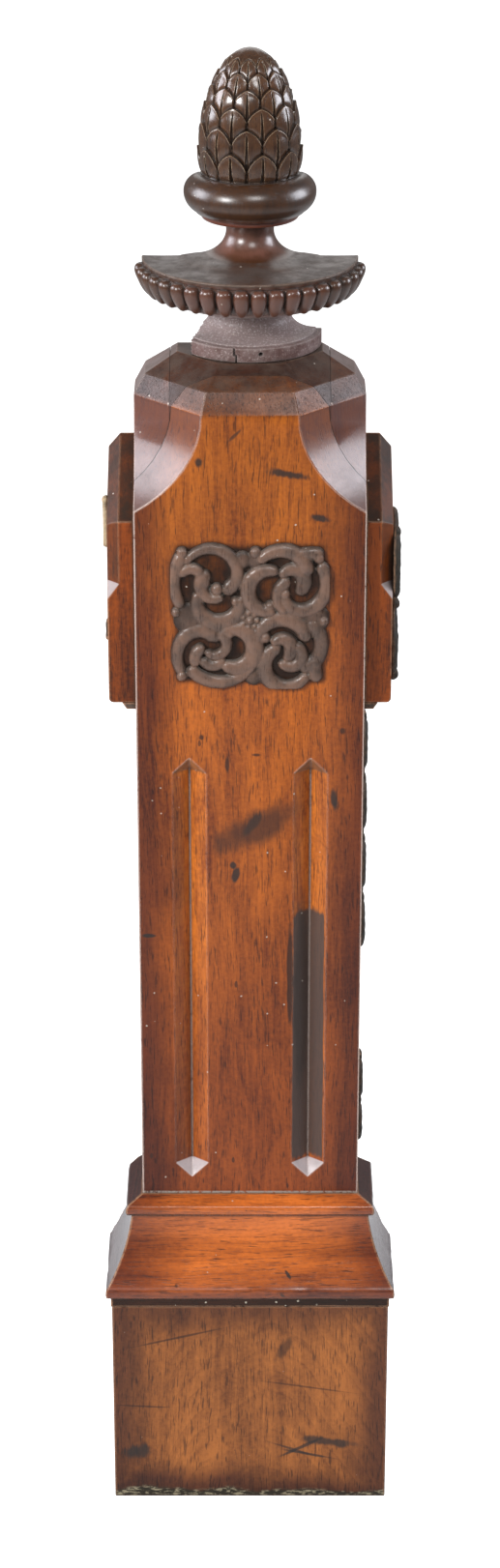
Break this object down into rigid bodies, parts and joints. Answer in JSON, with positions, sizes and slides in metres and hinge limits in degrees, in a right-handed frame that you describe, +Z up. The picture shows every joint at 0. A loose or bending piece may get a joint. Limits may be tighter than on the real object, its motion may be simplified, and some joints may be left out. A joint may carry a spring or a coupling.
{
  "type": "newel post",
  "caption": "Half newel post with a flat back: board shaft with stopped grooves, pierced panels, plinth, scooped head and a beaded dish finial under a scaled cone.",
  "frame": {"origin": "on the floor, in the middle of the post's overall width and depth", "axes": "+Z up, the carved front looks towards -Y, the flat back towards +Y, +X to the viewer's right"},
  "size_m": [0.2742, 0.137, 1.3928],
  "materials": {
    "shaft_walnut": "worn shellac over orange-brown walnut",
    "plinth_walnut": "dull worn walnut with dark edges",
    "moulding_walnut": "glossy red-brown walnut",
    "block_walnut": "worn red-brown walnut with dusty slopes",
    "carving_walnut": "dusty grey-brown carved walnut",
    "bare_wood": "bare torn fibres",
    "finial_walnut": "dark brown satin walnut"
  },
  "bodies": {
    "root": {"shaft_front_board": "shaft_walnut", "shaft_left_board": "shaft_walnut", "shaft_right_board": "shaft_walnut", "cap_block": "shaft_walnut", "plinth_front": "plinth_walnut", "plinth_left": "plinth_walnut", "plinth_right": "plinth_walnut", "cove_moulding_front": "moulding_walnut", "cove_moulding_left": "moulding_walnut", "cove_moulding_right": "moulding_walnut", "bevel_moulding_front": "moulding_walnut", "bevel_moulding_left": "moulding_walnut", "bevel_moulding_right": "moulding_walnut", "left_block": "block_walnut", "right_block": "block_walnut", "left_block_strip": "block_walnut", "right_block_strip": "block_walnut", "front_panel": "carving_walnut", "right_panel": "carving_walnut", "right_drop_upper": "carving_walnut", "right_drop_lower": "carving_walnut", "left_panel_remnant_upper": "bare_wood", "left_panel_remnant_lower": "bare_wood", "finial_foot": "finial_walnut", "finial_dish": "finial_walnut", "pine_cone": "finial_walnut"}
  },
  "joints": []
}
